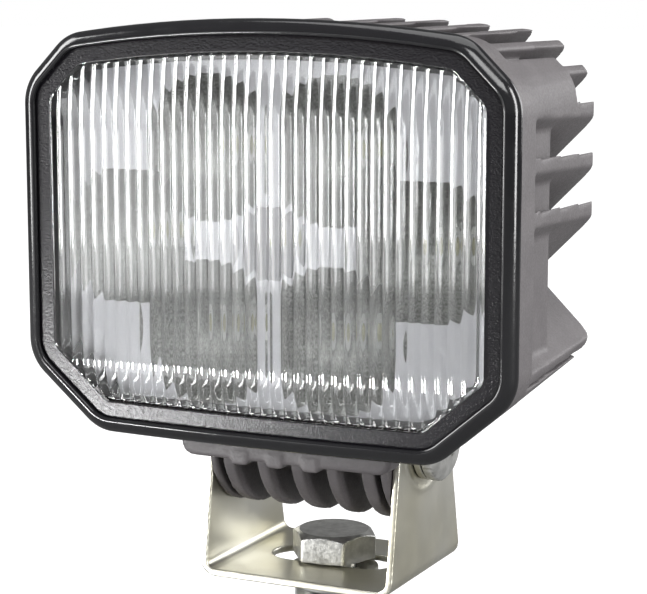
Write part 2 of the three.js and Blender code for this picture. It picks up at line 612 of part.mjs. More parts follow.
function housing() {
  const { x0, x1, z0, z1, rear } = DRIVER_POCKET;
  const wall = POCKET_WALL;
  const tray = lampLoft([[trayFront, 0.3], [WALL_REAR_Y, 0.6]], 4);
  const base = lampSlab(BASE_INSET, WALL_REAR_Y - 1, BASE_REAR_Y);
  const envelope = lampLoft([
    [WALL_REAR_Y - 1, 0.6],
    [REAR_Y - 2.5, 2, FIN_LIFT],
    [REAR_Y - 0.7, 2.9, FIN_LIFT],
    [REAR_Y, 4.4, FIN_LIFT],
  ]);
  const spread = join(fins(), cornerBlocks()).intersect(envelope);
  const driverBox = box(x0 - wall, x1 + wall, BASE_REAR_Y - 1, rear + wall, z0 - wall, z1 + wall);
  const ventClearing = disc(VENT.radius + 3.4, BASE_REAR_Y + 0.6, REAR_Y + 1, "y", [VENT.x, 0, VENT.z]);
  const ventBoss = disc(VENT.radius + 1.4, BASE_REAR_Y - 1, VENT.seat, "y", [VENT.x, 0, VENT.z]);
  const socketClearing = plate(stadium(SOCKET.wide + 4.2, SOCKET.high + 4.2), "xz", rear + wall - 0.2, REAR_Y + 1);
  const socketPad = plate(stadium(SOCKET.wide + 2.6, SOCKET.high + 2.6), "xz", BASE_REAR_Y - 1, socketFront - 0.9 - GAP);
  const finned = cut(spread, ventClearing, socketClearing);
  const shell = cut(join(tray, base, finned, driverBox, ventBoss, socketPad), underCutter());
  const armPockets = [armPocket(-POCKET_REACH, -BOSS_HALF_WIDTH), armPocket(BOSS_HALF_WIDTH, POCKET_REACH)];
  const seat = lampSlab(BEZEL_WALL, trayFront - 1, seatFloor, 4);
  const cavity = lampSlab(CAVITY_INSET, seatFloor - 1, CAVITY_REAR_Y);
  const pocket = box(x0, x1, CAVITY_REAR_Y - 1, rear, z0, z1);
  const pins = pinBores(PIN_RADIUS + 0.9, rear - 1, socketFront + 1);
  const ventBore = disc(2.7, CAVITY_REAR_Y - 1, VENT.seat + 1, "y", [VENT.x, 0, VENT.z], 16);
  const tap = (from, to) => disc(PIVOT_HOLE_RADIUS, from, to, "x", [0, PIVOT.y, pivotZ]);
  const threads = [tap(-BOSS_HALF_WIDTH - 1, -TAP_END), tap(TAP_END, BOSS_HALF_WIDTH + 1)];
  const boardTaps = screwHoles(1.7, CAVITY_REAR_Y - 1, CAVITY_REAR_Y + 4);
  const whole = join(shell, pivotBoss());
  return cut(whole, ...armPockets, seat, cavity, pocket, ...pins, ventBore, ...threads, ...boardTaps);
}

// ---- assembly ----
function piece(name, material, solid) {
  const mesh = new THREE.Mesh(toGeometry(solid), material);
  mesh.name = name;
  return mesh;
}

const assembly = new THREE.Group();
assembly.add(
  piece("mounting_bolt", STEEL, mountingBolt()),
  piece("flat_washer", ZINC, flatWasher()),
  piece("spring_washer", STEEL, springWasher()),
  piece("hex_nut", STEEL, hexNut()),
  piece("bracket", ZINC, bracket()),
);

const lamp = new THREE.Group();
lamp.position.z = LAMP_Z;
lamp.add(
  piece("housing", CAST, housing()),
  piece("bezel", GLOSS_BLACK, bezel()),
  piece("lens", CLEAR, lens()),
  piece("lens_gasket", RUBBER, lensGasket()),
  piece("window_frame", SATIN_BLACK, windowFrame()),
  piece("reflector", MIRROR, reflector()),
  piece("led_board", BOARD, ledBoard()),
  piece("thermal_pad", PAD, thermalPad()),
  piece("driver_board", CIRCUIT, driverBoard()),
  piece("driver_inductor", COPPER, driverInductor()),
  piece("driver_chip", SATIN_BLACK, driverChip()),
  piece("connector_shell", SATIN_BLACK, connectorShell()),
  piece("connector_seal", RUBBER, connectorSeal()),
  piece("vent_plug", SATIN_BLACK, ventPlug()),
);
[...CUPS, CENTRE_CUP].forEach((place, index) => lamp.add(piece(`led_${index + 1}`, LED, led(place))));
BOARD_SCREWS.forEach((place, index) => lamp.add(piece(`board_screw_${index + 1}`, STEEL, boardScrew(place))));
[-4.6, 4.6].forEach((x, index) => lamp.add(piece(`driver_capacitor_${index + 1}`, SATIN_BLACK, driverCapacitor(x))));
[["left", -1], ["right", 1]].forEach(([name, side]) => {
  lamp.add(
    piece(`pivot_bolt_${name}`, STEEL, pivotBolt(side)),
    piece(`pivot_washer_${name}`, ZINC, pivotWasher(side)),
    piece(`contact_pin_${name}`, TINNED, contactPin(side)),
  );
});
assembly.add(lamp);

export default assembly;
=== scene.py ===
"""The looks of a rectangular LED fog light that stands on a U-shaped steel bracket."""
import json
import math

import bmesh
import bpy
import numpy as np
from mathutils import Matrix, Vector

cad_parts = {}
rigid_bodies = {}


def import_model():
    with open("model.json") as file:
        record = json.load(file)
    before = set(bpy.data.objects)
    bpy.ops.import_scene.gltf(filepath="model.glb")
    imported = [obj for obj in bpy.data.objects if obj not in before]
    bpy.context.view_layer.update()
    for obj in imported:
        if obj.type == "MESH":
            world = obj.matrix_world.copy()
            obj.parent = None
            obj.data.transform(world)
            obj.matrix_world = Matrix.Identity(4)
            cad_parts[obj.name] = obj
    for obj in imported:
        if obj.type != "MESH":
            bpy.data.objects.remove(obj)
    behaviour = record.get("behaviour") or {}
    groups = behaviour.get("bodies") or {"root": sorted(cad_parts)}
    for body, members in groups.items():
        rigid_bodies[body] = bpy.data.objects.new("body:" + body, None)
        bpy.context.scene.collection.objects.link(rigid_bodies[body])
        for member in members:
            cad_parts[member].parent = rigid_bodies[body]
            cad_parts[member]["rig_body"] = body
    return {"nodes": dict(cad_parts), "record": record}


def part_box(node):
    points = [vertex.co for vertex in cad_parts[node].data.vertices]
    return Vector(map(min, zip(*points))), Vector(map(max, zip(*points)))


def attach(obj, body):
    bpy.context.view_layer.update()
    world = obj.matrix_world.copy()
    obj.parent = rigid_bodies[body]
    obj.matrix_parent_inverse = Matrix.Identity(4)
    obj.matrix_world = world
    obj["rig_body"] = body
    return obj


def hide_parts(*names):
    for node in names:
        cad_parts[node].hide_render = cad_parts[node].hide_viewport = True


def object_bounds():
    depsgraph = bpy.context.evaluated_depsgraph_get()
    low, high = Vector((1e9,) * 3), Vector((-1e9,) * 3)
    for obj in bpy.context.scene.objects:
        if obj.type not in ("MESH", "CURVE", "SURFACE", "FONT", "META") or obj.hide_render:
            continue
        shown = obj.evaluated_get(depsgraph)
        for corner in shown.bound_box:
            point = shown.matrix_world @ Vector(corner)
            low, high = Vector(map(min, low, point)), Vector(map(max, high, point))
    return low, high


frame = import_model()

CAD_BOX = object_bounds()
MM = 0.001

# ---- sizes, in millimetres ----
LAMP_Z = 78  # height of the lamp's centre
SIDE_CORNER_Z = 29.6  # where a vertical side turns into a cut corner
TOP_CORNER = (45.4, 40.2)
TOP_RISE = 3.3
BOTTOM_CORNER = (39, -44.1)
BOTTOM_DIP = 0.4
CORNER_RADIUS = 10

BEZEL_LIP = 3.2
BEZEL_WALL = 2.3
LENS_INSET = 2.6
GASKET_INNER = 4.7
BORDER_INSET = 6.6  # the lens is moulded black from its edge in to here
FRAME_INSET = 8.4  # opening of the black frame behind the lens
REFLECTOR_INSET = 6.0

FLUTE_PITCH = 2.8
FLUTE_DEPTH = 0.46
LENS_CROWN = 0.25  # how far the fluted window stands proud of the border
TOP_CREASE_Z = 24
BOTTOM_CREASE_Z = -30
TOP_LEAN = 0.12
BOTTOM_LEAN = 0.22

CUP_RADIUS = 15
CUP_THROAT = 4
CUPS = [(-14.4, 16.8), (14.4, 16.8), (-34, -2.3), (34, -2.3), (-14.4, -21.4), (14.4, -21.4)]
CENTRE_CUP = (0, -2.3)
CENTRE_CUP_RADIUS = 7.6
UPPER_FLAT_Z = 1.5
LOWER_FLAT_Z = -6.3
MIDDLE_FLAT_X = 2
SIDE_FLAT = 15.1
BOARD_SCREWS = [(-37, 20.5), (37, 20.5), (-37, -25), (37, -25)]
SCREW_RECESS = (3.4, 3.2)  # radius and depth of the hole behind the reflector for a screw's head

HEX_ACROSS = 17  # bolt head and nut, across the flats
HEAD_HEIGHT = 6.4
HEAD_TURN = 7  # degrees that the bolt's hexagon is turned
THREAD_PITCH = 1.5
WASHER_RADII = (5.3, 10)
PIVOT_WASHER_RADII = (4.4, 8.7)
PIVOT_HEAD = 4.1  # height of a pivot bolt's domed head
AXIS = 0.01  # radius of a turned profile's end, just off its axis


def node_y(name):
    """Front and back of a CAD node, in millimetres."""
    low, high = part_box(name)
    return low.y / MM, high.y / MM


HALF_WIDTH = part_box("bezel")[1].x / MM
BEZEL_FRONT, BEZEL_BACK = node_y("bezel")
LENS_FRONT, LENS_BACK = node_y("lens")
GASKET_FRONT, GASKET_BACK = node_y("lens_gasket")
FRAME_FRONT = node_y("window_frame")[0]
REFLECTOR_FRONT, REFLECTOR_BACK = node_y("reflector")
CUP_DEPTH = REFLECTOR_BACK - REFLECTOR_FRONT - 0.2
SLOTS = {part["node"]: part["material_slot"] for part in frame["record"]["subparts"]}


# ---- node materials ----
class Finish:
    """A material whose noise and bump follow the object's own coordinates."""

    def __init__(self, name, color, roughness, metallic=0.0, **sockets):
        self.material = bpy.data.materials.new(name)
        self.material.use_nodes = True
        self.tree = self.material.node_tree
        self.shader = self.tree.nodes["Principled BSDF"]
        self.shader.inputs["Base Color"].default_value = (*color, 1)
        self.shader.inputs["Roughness"].default_value = roughness
        self.shader.inputs["Metallic"].default_value = metallic
        for socket, value in sockets.items():
            self.shader.inputs[socket.replace("_", " ")].default_value = value
        self.place = self.tree.nodes.new("ShaderNodeTexCoord").outputs["Object"]

    def stretched(self, scale):
        node = self.tree.nodes.new("ShaderNodeMapping")
        node.inputs["Scale"].default_value = scale
        self.tree.links.new(self.place, node.inputs["Vector"])
        return node.outputs["Vector"]

    def noise(self, size, detail=3.0, stretch=None):
        """Noise whose features are about size millimetres across."""
        node = self.tree.nodes.new("ShaderNodeTexNoise")
        node.inputs["Scale"].default_value = 1 / (size * MM)
        node.inputs["Detail"].default_value = detail
        source = self.stretched(stretch) if stretch else self.place
        self.tree.links.new(source, node.inputs["Vector"])
        return node.outputs["Fac"]

    def cells(self, size):
        node = self.tree.nodes.new("ShaderNodeTexVoronoi")
        node.inputs["Scale"].default_value = 1 / (size * MM)
        self.tree.links.new(self.place, node.inputs["Vector"])
        return node.outputs["Distance"]

    def ramp(self, value, low, high, start=0.35, end=0.65):
        """Maps a value to a number or a colour between low and high."""
        node = self.tree.nodes.new("ShaderNodeMapRange")
        node.inputs["From Min"].default_value = start
        node.inputs["From Max"].default_value = end
        if isinstance(low, tuple):
            self.tree.links.new(value, node.inputs["Value"])
            mix = self.tree.nodes.new("ShaderNodeMix")
            mix.data_type = "RGBA"
            mix.inputs["A"].default_value = (*low, 1)
            mix.inputs["B"].default_value = (*high, 1)
            self.tree.links.new(node.outputs["Result"], mix.inputs["Factor"])
            return mix.outputs["Result"]
        node.inputs["To Min"].default_value = low
        node.inputs["To Max"].default_value = high
        self.tree.links.new(value, node.inputs["Value"])
        return node.outputs["Result"]

    def drive(self, socket, value):
        self.tree.links.new(value, self.shader.inputs[socket])

    def bump(self, height, depth):
        """Adds a bump that is depth millimetres deep, on top of any earlier one."""
        node = self.tree.nodes.new("ShaderNodeBump")
        node.inputs["Distance"].default_value = depth * MM
        node.inputs["Strength"].default_value = 1
        self.tree.links.new(height, node.inputs["Height"])
        normal = self.shader.inputs["Normal"]
        if normal.is_linked:
            self.tree.links.new(normal.links[0].from_socket, node.inputs["Normal"])
        self.tree.links.new(node.outputs["Normal"], normal)
        return self


def powder_coat():
    """Warm dark grey powder coat on a die casting: fine orange peel and faint cloudiness."""
    made = Finish("powder_coat", (0.085, 0.078, 0.081), 0.5)
    made.drive("Base Color", made.ramp(made.noise(9), (0.078, 0.071, 0.074), (0.096, 0.088, 0.091)))
    made.drive("Roughness", made.ramp(made.noise(0.5), 0.42, 0.6))
    return made.bump(made.noise(0.45, 4), 0.05).bump(made.noise(2.2, 2), 0.05).material


def black_plastic(name, roughness, grain, depth):
    """Black moulded plastic with a fine spark-eroded grain."""
    made = Finish(name, (0.011, 0.011, 0.012), roughness)
    made.drive("Base Color", made.ramp(made.noise(6), (0.009, 0.009, 0.010), (0.014, 0.0135, 0.015)))
    made.drive("Roughness", made.ramp(made.noise(grain), roughness - 0.04, roughness + 0.06))
    return made.bump(made.noise(grain, 3), depth).material


def gloss_black():
    made = Finish("gloss_black_rim", (0.008, 0.008, 0.009), 0.12)
    made.drive("Roughness", made.ramp(made.noise(5), 0.08, 0.17))
    return made.bump(made.noise(0.6, 3), 0.012).material


def lens_border():
    """The black shot of the lens, finely stippled so that low light sparkles in it."""
    made = Finish("lens_black_border", (0.007, 0.0065, 0.008), 0.16)
    made.drive("Roughness", made.ramp(made.noise(0.5), 0.12, 0.22))
    return made.bump(made.noise(0.4, 4), 0.085).material


def clear_lens():
    made = Finish("clear_polycarbonate", (0.97, 0.985, 0.985), 0.03, IOR=1.58, Transmission_Weight=1.0,
                  Coat_Weight=1.0, Coat_IOR=1.8, Coat_Roughness=0.06)
    made.drive("Roughness", made.ramp(made.noise(3), 0.02, 0.05))
    return made.bump(made.noise(1.4, 2, (1, 1, 0.25)), 0.012).material


def reflector_plate():
    made = Finish("vacuum_metallised_plate", (0.70, 0.69, 0.72), 0.5, 0.6)
    made.drive("Roughness", made.ramp(made.noise(0.7), 0.45, 0.6))
    return made.bump(made.noise(0.5, 3), 0.02).material


def reflector_cup():
    """Metallised bowls with a dimpled surface that spreads the beam, coloured darker than the plate as
    painted shade.
    """
    made = Finish("metallised_cup_painted_shade", (0.55, 0.55, 0.53), 0.35, 0.85)
    # Painted shade: the bowls' grey, 0.26 to 0.52, is darker than the plate's 0.70 and stands in for the dark
    # that the deep bowls show. The mottling between the two greys is random.
    made.drive("Base Color", made.ramp(made.noise(0.7, 2), (0.26, 0.26, 0.245), (0.52, 0.52, 0.50)))
    made.drive("Roughness", made.ramp(made.noise(0.6), 0.3, 0.5))
    return made.bump(made.cells(0.75), 0.14).bump(made.noise(0.35, 3), 0.04).material


def zinc_plate():
    """Bright zinc passivation: a faint yellow bloom over silver, with rolling marks."""
    made = Finish("zinc_passivated_steel", (0.66, 0.65, 0.58), 0.34, 0.95)
    bloom = made.ramp(made.noise(24, 1), (0.62, 0.61, 0.55), (0.54, 0.52, 0.42))
    made.drive("Base Color", bloom)
    made.drive("Roughness", made.ramp(made.noise(6, 2), 0.3, 0.38))
    return made.bump(made.noise(0.35, 3), 0.008).material


def satin_steel():
    made = Finish("zinc_plated_fastener", (0.66, 0.66, 0.645), 0.34, 0.95)
    made.drive("Base Color", made.ramp(made.noise(2.4, 4), (0.72, 0.72, 0.70), (0.52, 0.52, 0.50)))
    made.drive("Roughness", made.ramp(made.noise(0.8, 4), 0.28, 0.46))
    return made.bump(made.noise(0.5, 4), 0.03).material


def rubber():
    made = Finish("silicone_rubber", (0.02, 0.02, 0.021), 0.7)
    made.drive("Roughness", made.ramp(made.noise(0.8), 0.62, 0.8))
    return made.bump(made.noise(0.25), 0.02).material


def white_board():
    made = Finish("white_solder_mask", (0.82, 0.82, 0.8), 0.4)
    made.drive("Base Color", made.ramp(made.noise(4), (0.84, 0.84, 0.82), (0.77, 0.77, 0.74)))
    return made.bump(made.noise(0.6), 0.01).material


def circuit_board():
    made = Finish("green_solder_mask", (0.02, 0.13, 0.055), 0.35)
    tracks = made.ramp(made.noise(1.6, 1), (0.015, 0.10, 0.04), (0.03, 0.18, 0.08), 0.48, 0.52)
    made.drive("Base Color", tracks)
    return made.bump(made.noise(0.5), 0.02).material


def thermal_pad():
    made = Finish("thermal_pad_grey", (0.32, 0.36, 0.38), 0.85)
    made.drive("Base Color", made.ramp(made.noise(0.4), (0.28, 0.32, 0.34), (0.38, 0.42, 0.44)))
    return made.bump(made.noise(0.3), 0.03).material


def copper():
    made = Finish("enamelled_copper", (0.72, 0.32, 0.13), 0.28, 0.95)
    made.drive("Roughness", made.ramp(made.noise(0.6), 0.22, 0.4))
    return made.bump(made.noise(0.5, 1, (1, 3, 1)), 0.05).material


def tinned():
    made = Finish("tinned_brass", (0.78, 0.78, 0.75), 0.25, 0.95)
    made.drive("Roughness", made.ramp(made.noise(0.5), 0.2, 0.36))
    return made.bump(made.noise(0.3), 0.01).material


def phosphor():
    made = Finish("led_phosphor_yellow", (0.62, 0.60, 0.42), 0.35, Coat_Weight=1.0)
    made.drive("Base Color", made.ramp(made.noise(0.25), (0.66, 0.63, 0.44), (0.55, 0.53, 0.36)))
    return made.bump(made.noise(0.3), 0.02).material


MATERIALS = {
    "cast_housing": powder_coat(),
    "gloss_black": gloss_black(),
    "satin_black": black_plastic("satin_black_plastic", 0.38, 0.4, 0.03),
    "black_border": lens_border(),
    "clear_lens": clear_lens(),
    "reflector_metal": reflector_plate(),
    "reflector_cup": reflector_cup(),
    "zinc_plate": zinc_plate(),
    "steel": satin_steel(),
    "rubber_seal": rubber(),
    "white_board": white_board(),
    "circuit_board": circuit_board(),
    "thermal_pad": thermal_pad(),
    "copper": copper(),
    "tinned_contact": tinned(),
    "led_phosphor": phosphor(),
}


# ---- mesh helpers ----
def make_piece(name, points, faces, *slots):
    """A mesh object from points in millimetres, with one material for each slot name."""
    mesh = bpy.data.meshes.new(name)
    mesh.from_pydata((np.asarray(points, float) * MM).tolist(), [], faces)
    piece = bpy.data.objects.new(name, mesh)
    bpy.context.scene.collection.objects.link(piece)
    for slot in slots:
        mesh.materials.append(MATERIALS[slot])
    return piece


def tidy_normals(piece, sharp_deg=32):
    """Points every face out and shades it smooth up to sharp_deg."""
    work = bmesh.new()
    work.from_mesh(piece.data)
    bmesh.ops.recalc_face_normals(work, faces=work.faces)
    work.to_mesh(piece.data)
    work.free()
    piece.data.polygons.foreach_set("use_smooth", [True] * len(piece.data.polygons))
    piece.data.set_sharp_from_angle(angle=math.radians(sharp_deg))
    return piece


def apply_modifiers(piece):
    bpy.context.view_layer.update()
    graph = bpy.context.evaluated_depsgraph_get()
    mesh = bpy.data.meshes.new_from_object(piece.evaluated_get(graph))
    piece.modifiers.clear()
    piece.data = mesh
    return piece


def stands_for(piece, node):
    """The piece takes the place of a CAD node, on the same body."""
    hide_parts(node)
    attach(piece, frame["nodes"][node]["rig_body"])
    return piece


def rings_to_faces(count, rings, closed_rings):
    """Quads between successive rings of count points each."""
    faces = []
    last = rings if closed_rings else rings - 1
    for level in range(last):
        base, after = level * count, ((level + 1) % rings) * count
        for k in range(count):
            m = (k + 1) % count
            faces.append((base + k, base + m, after + m, after + k))
    return faces


def lathe(profile, axis, at, segments=64, shape=None):
    """Points and faces of a turned solid. The profile is [(radius, along)] and shape(angle, radius, along)
    may change a radius."""
    angles = np.arange(segments) * 2 * math.pi / segments
    points = []
    for radius, along in profile:
        for angle in angles:
            r = shape(angle, radius, along) if shape else radius
            u, v = r * math.cos(angle), r * math.sin(angle)
            points.append({"x": (along, u, v), "y": (u, along, v), "z": (u, v, along)}[axis])
    points = np.array(points) + np.array(at, float)
    faces = rings_to_faces(segments, len(profile), False)
    faces.append(tuple(range(segments)))
    faces.append(tuple((len(profile) - 1) * segments + k for k in range(segments)))
    return points, faces


def lathe_ring(profile, axis, at, segments=64, shape=None):
    """As lathe, for a closed profile that never reaches the axis."""
    points = lathe(profile, axis, at, segments, shape)[0]
    return points, rings_to_faces(segments, len(profile), True)


def rounded_profile(corners, radius, steps=4):
    """Rounds every corner of a closed profile of (radius, along) points."""
    made = []
    corners = [np.array(corner, float) for corner in corners]
    for index, here in enumerate(corners):
        before, after = corners[index - 1], corners[(index + 1) % len(corners)]
        into = (before - here) / np.linalg.norm(before - here)
        out = (after - here) / np.linalg.norm(after - here)
        reach = min(radius, 0.45 * np.linalg.norm(before - here), 0.45 * np.linalg.norm(after - here))
        for step in range(steps + 1):
            t = step / steps
            made.append(tuple(here + into * reach * (1 - t) ** 2 + out * reach * t ** 2))
    return made


def cut_with(piece, cutters, operation="DIFFERENCE"):
    for cutter in cutters:
        change = piece.modifiers.new("cut", "BOOLEAN")
        change.operation = operation
        change.solver = "MANIFOLD"
        change.object = cutter
    apply_modifiers(piece)
    for cutter in cutters:
        bpy.data.objects.remove(cutter)
    return piece


def softened(node, name, voxel, passes, keep, slot):
    """A copy of a CAD node whose edges are rounded, as cast, moulded or pressed ones are."""
    piece = bpy.data.objects.new(name, frame["nodes"][node].data.copy())
    bpy.context.scene.collection.objects.link(piece)
    remesh = piece.modifiers.new("remesh", "REMESH")
    remesh.mode = "VOXEL"
    remesh.voxel_size = voxel * MM
    smooth = piece.modifiers.new("smooth", "SMOOTH")
    smooth.factor = 0.5
    smooth.iterations = passes
    fewer = piece.modifiers.new("fewer", "DECIMATE")
    fewer.ratio = keep
    apply_modifiers(piece)
    piece.data.polygons.foreach_set("use_smooth", [True] * len(piece.data.polygons))
    piece.data.materials.clear()
    piece.data.materials.append(MATERIALS[slot])
    return stands_for(piece, node)


# ---- the lamp's outline ----
def lamp_corners():
    """Sharp corners of the outline, anticlockwise from the lower right, with the arch as a fine curve."""
    half, height = TOP_CORNER
    arch = [(half * t, height + TOP_RISE * (1 - t * t)) for t in np.linspace(1, -1, 17)]
    sag = [
        (BOTTOM_CORNER[0] * t, BOTTOM_CORNER[1] - BOTTOM_DIP * (1 - t * t)) for t in np.linspace(-1, 1, 9)
    ]
    sides = [(HALF_WIDTH, -SIDE_CORNER_Z), (HALF_WIDTH, SIDE_CORNER_Z)]
    return [*sides, *arch, *[(-x, -z) for x, z in sides], *sag]


def inset(corners, distance):
    """Moves every edge of an anticlockwise convex outline inwards."""
    here = np.array(corners, float)
    along = np.roll(here, -1, axis=0) - here
    normal = np.stack([-along[:, 1], along[:, 0]], axis=1) / np.linalg.norm(along, axis=1)[:, None]
    offset = (normal * here).sum(axis=1) + distance
    before, low = np.roll(normal, 1, axis=0), np.roll(offset, 1)
    det = before[:, 0] * normal[:, 1] - before[:, 1] * normal[:, 0]
    x = (low * normal[:, 1] - offset * before[:, 1]) / det
    z = (before[:, 0] * offset - normal[:, 0] * low) / det
    return np.stack([x, z], axis=1)


def rounded(corners, radius, steps):
    points = []
    for index, (x, z) in enumerate(corners):
        xa, za = corners[index - 1]
        xb, zb = corners[(index + 1) % len(corners)]
        into = math.atan2(z - za, x - xa)
        turn = (math.atan2(zb - z, xb - x) - into) % (2 * math.pi)
        if turn < 0.3:
            points.append((x, z))
            continue
        reach = radius * math.tan(turn / 2)
        sx, sz = x - reach * math.cos(into), z - reach * math.sin(into)
        cx, cz = sx - radius * math.sin(into), sz + radius * math.cos(into)
        for step in range(steps + 1):
            angle = into - math.pi / 2 + turn * step / steps
            points.append((cx + radius * math.cos(angle), cz + radius * math.sin(angle)))
    return np.array(points)


def lamp_outline(distance, steps=12):
    return rounded(inset(lamp_corners(), distance), max(CORNER_RADIUS - distance, 3), steps)


def outline_ring(distance, y):
    outline = lamp_outline(distance)
    return [(x, y, z + LAMP_Z) for x, z in outline]


def sweep(name, profile, slot):
    """A closed band that follows the lamp's outline. Profile points are (inset, y)."""
    rings = [outline_ring(distance, y) for distance, y in profile]
    points = [point for ring in rings for point in ring]
    return tidy_normals(make_piece(name, points, rings_to_faces(len(rings[0]), len(rings), True), slot))


def depth_inside(points, outline):
    """How far points are inside a convex anticlockwise outline."""
    along = np.roll(outline, -1, axis=0) - outline
    normal = np.stack([-along[:, 1], along[:, 0]], axis=1) / np.linalg.norm(along, axis=1)[:, None]
    offset = (normal * outline).sum(axis=1)
    return (points @ normal.T - offset).min(axis=1)


def smoothstep(low, high, value):
    t = np.clip((value - low) / (high - low), 0, 1)
    return t * t * (3 - 2 * t)


# ---- bezel, seals and window frame ----
def bezel():
    front, lip = BEZEL_FRONT, LENS_FRONT - 0.3
    profile = [(0, BEZEL_BACK), (0, front + 1.95), (0.1, front + 1.6), (0.3, front + 1.25)]
    profile += [(0.6, front + 0.92), (1.0, front + 0.6), (1.5, front + 0.32), (2.0, front + 0.13)]
    profile += [(2.5, front), (2.9, front + 0.06), (3.12, front + 0.22), (BEZEL_LIP, front + 0.45)]
    profile += [(BEZEL_LIP, lip), (BEZEL_WALL, lip), (BEZEL_WALL, BEZEL_BACK)]
    return stands_for(sweep("bezel_ring", profile, "gloss_black"), "bezel")


def lens_gasket():
    corners = [
        (LENS_INSET, GASKET_FRONT), (GASKET_INNER, GASKET_FRONT),
        (GASKET_INNER, GASKET_BACK), (LENS_INSET, GASKET_BACK),
    ]
    made = sweep("lens_seal_ring", rounded_profile(corners, 0.4), "rubber_seal")
    return stands_for(made, "lens_gasket")


def window_frame():
    lip = REFLECTOR_FRONT - 0.3
    corners = [
        (GASKET_INNER + 0.3, FRAME_FRONT), (FRAME_INSET, FRAME_FRONT), (FRAME_INSET, lip),
        (REFLECTOR_INSET, lip), (REFLECTOR_INSET, FRAME_FRONT + 1), (GASKET_INNER + 0.3, FRAME_FRONT + 1),
    ]
    made = sweep("window_mask", rounded_profile(corners, 0.2, 2), "satin_black")
    return stands_for(made, "window_frame")


# ---- lens ----
def lens_columns():
    """Positions across the lens: several to each flute, and a few for the plain sides."""
    half = HALF_WIDTH - LENS_INSET
    per_flute = 10
    reach = HALF_WIDTH - BORDER_INSET
    inner = np.arange(-reach, reach + 1e-6, FLUTE_PITCH / per_flute)
    side = np.linspace(half, reach + 0.2, 8)
    return np.unique(np.concatenate([-side, inner, side]).round(4))


def lens_rows(x, edge, window):
    """Heights of one column's points, close together where the flutes end."""
    outer_low, outer_high = span(edge, x)
    low, high = span(window, np.clip(x, window[:, 0].min() + 0.01, window[:, 0].max() - 0.01))
    low, high = max(low, outer_low + 0.1), min(high, outer_high - 0.1)
    zone = 1.2
    parts = [
        np.linspace(outer_low, low - 0.1 * zone, 7)[:-1],
        np.linspace(low - 0.1 * zone, low + zone, 9)[:-1],
        np.linspace(low + zone, high - zone, 70)[:-1],
        np.linspace(high - zone, high + 0.1 * zone, 9)[:-1],
        np.linspace(high + 0.1 * zone, outer_high, 7),
    ]
    return np.concatenate(parts)


def span(outline, x):
    """Lowest and highest z of a convex outline at x."""
    start = int(outline[:, 0].argmin())
    ring = np.roll(outline, -start, axis=0)
    turn = int(ring[:, 0].argmax())
    lower, upper = ring[: turn + 1], np.vstack([ring[turn:], ring[:1]])
    x = np.clip(x, outline[:, 0].min() + 1e-6, outline[:, 0].max() - 1e-6)
    return np.interp(x, lower[:, 0], lower[:, 1]), np.interp(x, upper[::-1, 0], upper[::-1, 1])


def bent(distance):
    """Zero on one side and rising in a straight line on the other, with a soft bend between."""
    return (distance + np.sqrt(distance ** 2 + 1.5)) / 2


def lens_front(points, window, edge):
    """Depth of the outer face: flutes in the window, a plain border, and a rounded outer edge."""
    x, z = points[:, 0], points[:, 1]
    phase = (x / FLUTE_PITCH) % 1
    ridge = FLUTE_DEPTH * (1 - (2 * phase - 1) ** 2)
    lean = TOP_LEAN * bent(z - TOP_CREASE_Z) + BOTTOM_LEAN * bent(BOTTOM_CREASE_Z - z)
    inside = smoothstep(0, 0.7, depth_inside(points, window))
    rim = 0.5 * (1 - smoothstep(0, 0.6, depth_inside(points, edge)))
    return LENS_FRONT + rim - inside * (ridge + LENS_CROWN - lean)


def grid_border(columns, rows):
    """The points around a grid, in order, where a column's points follow one another."""
    border = [i * rows for i in range(columns)]
    border += [(columns - 1) * rows + j for j in range(1, rows)]
    border += [i * rows + rows - 1 for i in range(columns - 2, -1, -1)]
    return border + list(range(rows - 2, 0, -1))


def lens():
    edge, window = lamp_outline(LENS_INSET), lamp_outline(BORDER_INSET)
    columns = lens_columns()
    flat = np.array([(x, z) for x in columns for z in lens_rows(x, edge, window)])
    rows = len(flat) // len(columns)
    front = np.stack([flat[:, 0], lens_front(flat, window, edge), flat[:, 1] + LAMP_Z], axis=1)
    back = np.stack([flat[:, 0], np.full(len(flat), LENS_BACK), flat[:, 1] + LAMP_Z], axis=1)
    count, faces = len(flat), []
    inside = depth_inside(flat, window).reshape(len(columns), rows)
    clear = []
    for i in range(len(columns) - 1):
        for j in range(rows - 1):
            a, b = i * rows + j, (i + 1) * rows + j
            is_clear = inside[i:i + 2, j:j + 2].min() > -0.05
            faces += [(a, b, b + 1, a + 1), (count + a, count + a + 1, count + b + 1, count + b)]
            clear += [is_clear, is_clear]
    border = grid_border(len(columns), rows)
    for k, a in enumerate(border):
        b = border[(k + 1) % len(border)]
        faces.append((a, b, count + b, count + a))
        clear.append(False)
    piece = make_piece("fluted_lens", np.vstack([front, back]), faces, "clear_lens", "black_border")
    piece.data.polygons.foreach_set("material_index", [0 if c else 1 for c in clear])
    return stands_for(tidy_normals(piece, 60), "lens")


